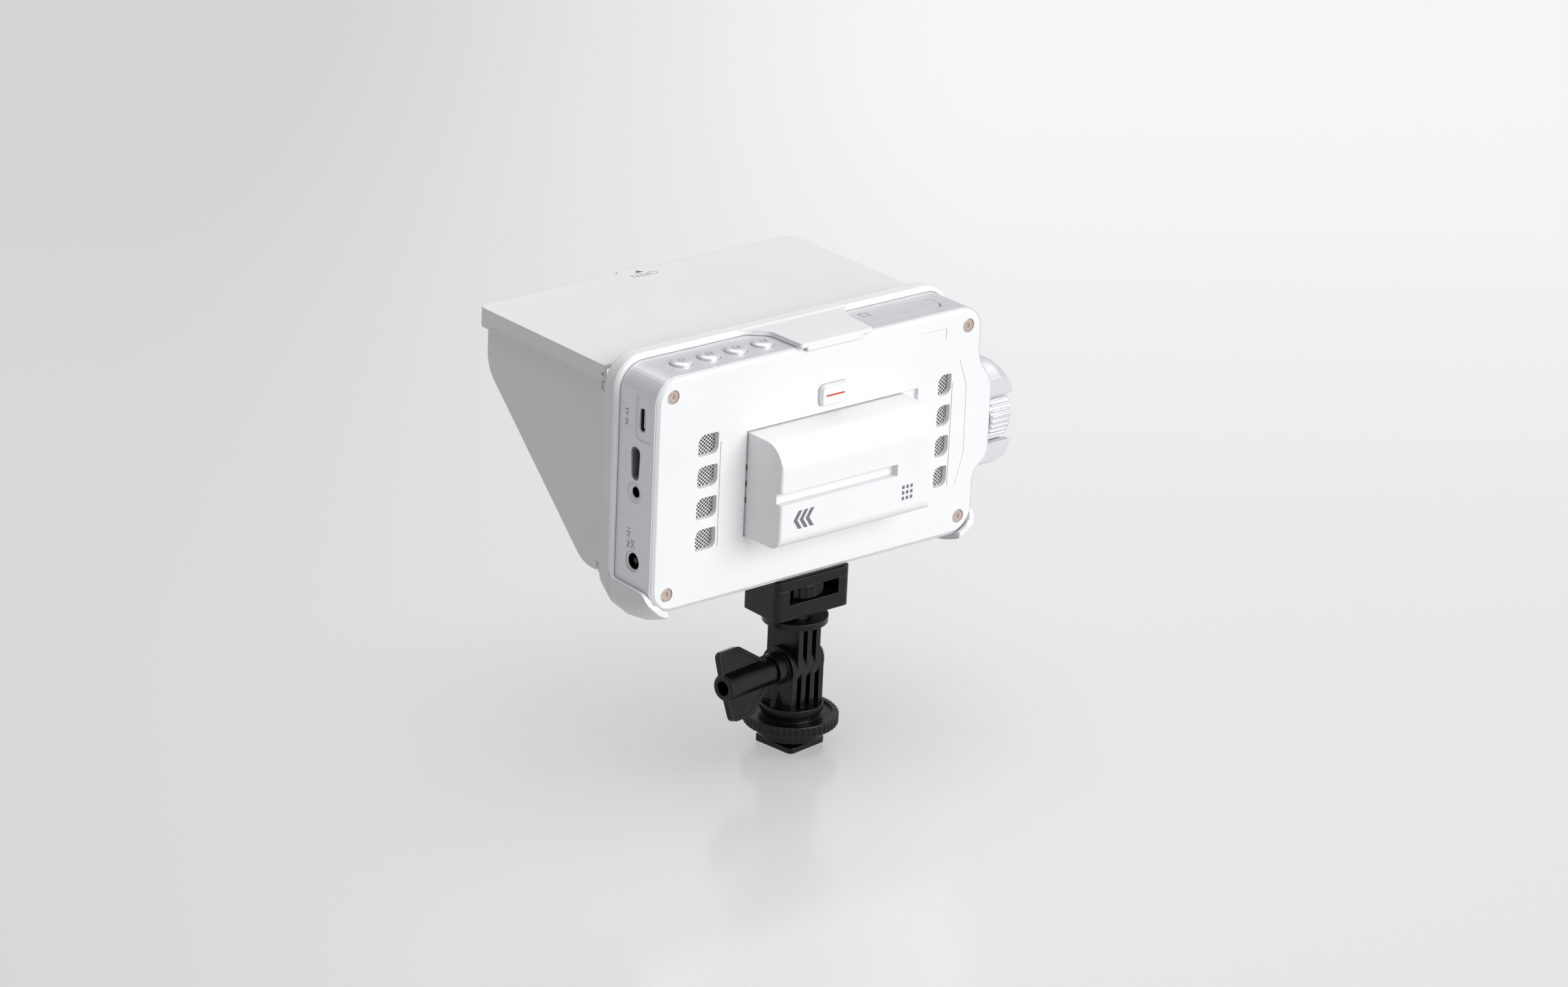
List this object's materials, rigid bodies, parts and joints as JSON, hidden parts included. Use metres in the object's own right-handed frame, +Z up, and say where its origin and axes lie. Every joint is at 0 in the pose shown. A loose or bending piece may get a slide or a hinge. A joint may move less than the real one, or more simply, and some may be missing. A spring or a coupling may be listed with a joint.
{
  "type": "camera_field_monitor",
  "caption": "Camera-top field monitor with folding sun hood, clip-on battery, ribbed jog knob, round keys and a tilting, panning shoe mount with wing nut and locking wheel.",
  "frame": {"origin": "centre of the shoe foot's underside", "axes": "+X to the right seen from behind the monitor, +Y towards the screen side, +Z up"},
  "size_m": [0.1674, 0.1278, 0.1574],
  "materials": {
    "silver_paint": "satin metallic silver paint",
    "white_plastic": "fine satin white moulding",
    "rose_gold_metal": "rose gold coloured plating",
    "steel": "bare steel",
    "screen_glass": "polished dark glass",
    "black_plastic": "fine textured black moulding",
    "board_green": "solder mask",
    "aluminium_bare": "extruded aluminium",
    "brass_insert": "turned brass",
    "cell_sleeve": "shrink sleeve",
    "black_rubber": "matt rubber"
  },
  "bodies": {
    "shoe_mount": {"shoe_foot": "black_plastic", "clevis_base": "black_plastic", "tilt_bolt": "steel", "acorn_nut": "rose_gold_metal"},
    "locking_wheel_body": {"locking_wheel": "black_plastic"},
    "wing_nut_body": {"wing_nut": "black_plastic"},
    "tilt_head": {"swivel_head": "black_plastic", "swivel_screw": "steel", "swivel_washer": "steel"},
    "monitor": {"housing": "silver_paint", "rear_cover": "white_plastic", "cover_screws": "rose_gold_metal", "vent_mesh": "steel", "touch_glass": "screen_glass", "screen_panel": "black_plastic", "main_board": "board_green", "heat_sink": "aluminium_bare", "key_board": "board_green", "encoder": "black_plastic", "charging_socket": "steel", "strap_slot_cup": "black_plastic", "headphone_jack": "black_plastic", "power_jack": "black_plastic", "video_socket": "steel", "card_cover_pin": "steel", "card_socket": "steel", "battery_terminals": "black_plastic", "thread_insert": "brass_insert", "hood_frame": "white_plastic", "lid_hinge_pins": "steel", "wing_hinge_pins": "steel", "mount_pad": "black_rubber", "box_cap": "black_plastic", "box_base": "black_plastic"},
    "thumb_wheel_body": {"thumb_wheel": "black_plastic", "tripod_screw": "steel"},
    "battery": {"battery_case": "white_plastic", "battery_front": "white_plastic", "battery_cells": "cell_sleeve", "battery_board": "board_green"},
    "release": {"release_button": "white_plastic"},
    "key_1_body": {"key_1": "silver_paint"},
    "key_2_body": {"key_2": "silver_paint"},
    "key_3_body": {"key_3": "silver_paint"},
    "key_4_body": {"key_4": "silver_paint"},
    "knob": {"jog_knob": "silver_paint", "knob_shaft": "steel"},
    "card_flap": {"card_cover": "silver_paint"},
    "lid": {"hood_lid": "white_plastic"},
    "wing_left": {"hood_wing_left": "white_plastic"},
    "wing_right": {"hood_wing_right": "white_plastic"}
  },
  "joints": [
    {"name": "lock_turn", "type": "hinge", "parent": "shoe_mount", "child": "locking_wheel_body", "pos_m": [0, 0, 0.0101], "axis": [0, 0, 1], "continuous": true},
    {"name": "wing_nut_turn", "type": "hinge", "parent": "shoe_mount", "child": "wing_nut_body", "pos_m": [0, 0, 0.0308], "axis": [0.9914, 0.1305, 0], "continuous": true},
    {"name": "tilt", "type": "hinge", "parent": "shoe_mount", "child": "tilt_head", "pos_m": [0, 0, 0.0308], "axis": [0.9914, 0.1305, 0], "range_deg": [-90, 90]},
    {"name": "pan", "type": "hinge", "parent": "tilt_head", "child": "monitor", "pos_m": [0, 0, 0.0523], "axis": [0, 0, 1], "continuous": true},
    {"name": "thumb_turn", "type": "hinge", "parent": "monitor", "child": "thumb_wheel_body", "pos_m": [0, 0, 0.0614], "axis": [0, 0, 1], "continuous": true},
    {"name": "battery_slide", "type": "slide", "parent": "monitor", "child": "battery", "axis": [1, 0, 0], "range_m": [0, 0.006]},
    {"name": "release_press", "type": "slide", "parent": "monitor", "child": "release", "axis": [0, 1, 0], "range_m": [0, 0.0012], "stiffness_N_per_m": 600},
    {"name": "key_1_press", "type": "slide", "parent": "monitor", "child": "key_1_body", "axis": [0, 0, -1], "range_m": [0, 0.0007], "stiffness_N_per_m": 800},
    {"name": "key_2_press", "type": "slide", "parent": "monitor", "child": "key_2_body", "axis": [0, 0, -1], "range_m": [0, 0.0007], "stiffness_N_per_m": 800},
    {"name": "key_3_press", "type": "slide", "parent": "monitor", "child": "key_3_body", "axis": [0, 0, -1], "range_m": [0, 0.0007], "stiffness_N_per_m": 800},
    {"name": "key_4_press", "type": "slide", "parent": "monitor", "child": "key_4_body", "axis": [0, 0, -1], "range_m": [0, 0.0007], "stiffness_N_per_m": 800},
    {"name": "knob_turn", "type": "hinge", "parent": "monitor", "child": "knob", "pos_m": [0.086, 0.0041, 0.109], "axis": [1, 0, 0], "continuous": true},
    {"name": "card_open", "type": "hinge", "parent": "monitor", "child": "card_flap", "pos_m": [0.059, 0.0015, 0.155], "axis": [0, 1, 0], "range_deg": [0, 95]},
    {"name": "lid_lift", "type": "hinge", "parent": "monitor", "child": "lid", "pos_m": [0, 0.0234, 0.1481], "axis": [1, 0, 0], "range_deg": [0, 15]},
    {"name": "wing_left_fold", "type": "hinge", "parent": "monitor", "child": "wing_left", "pos_m": [-0.0694, 0.0241, 0.1115], "axis": [0, 0, -1], "range_deg": [0, 86]},
    {"name": "wing_right_fold", "type": "hinge", "parent": "monitor", "child": "wing_right", "pos_m": [0.0694, 0.0241, 0.1115], "axis": [0, 0, 1], "range_deg": [0, 86]}
  ]
}
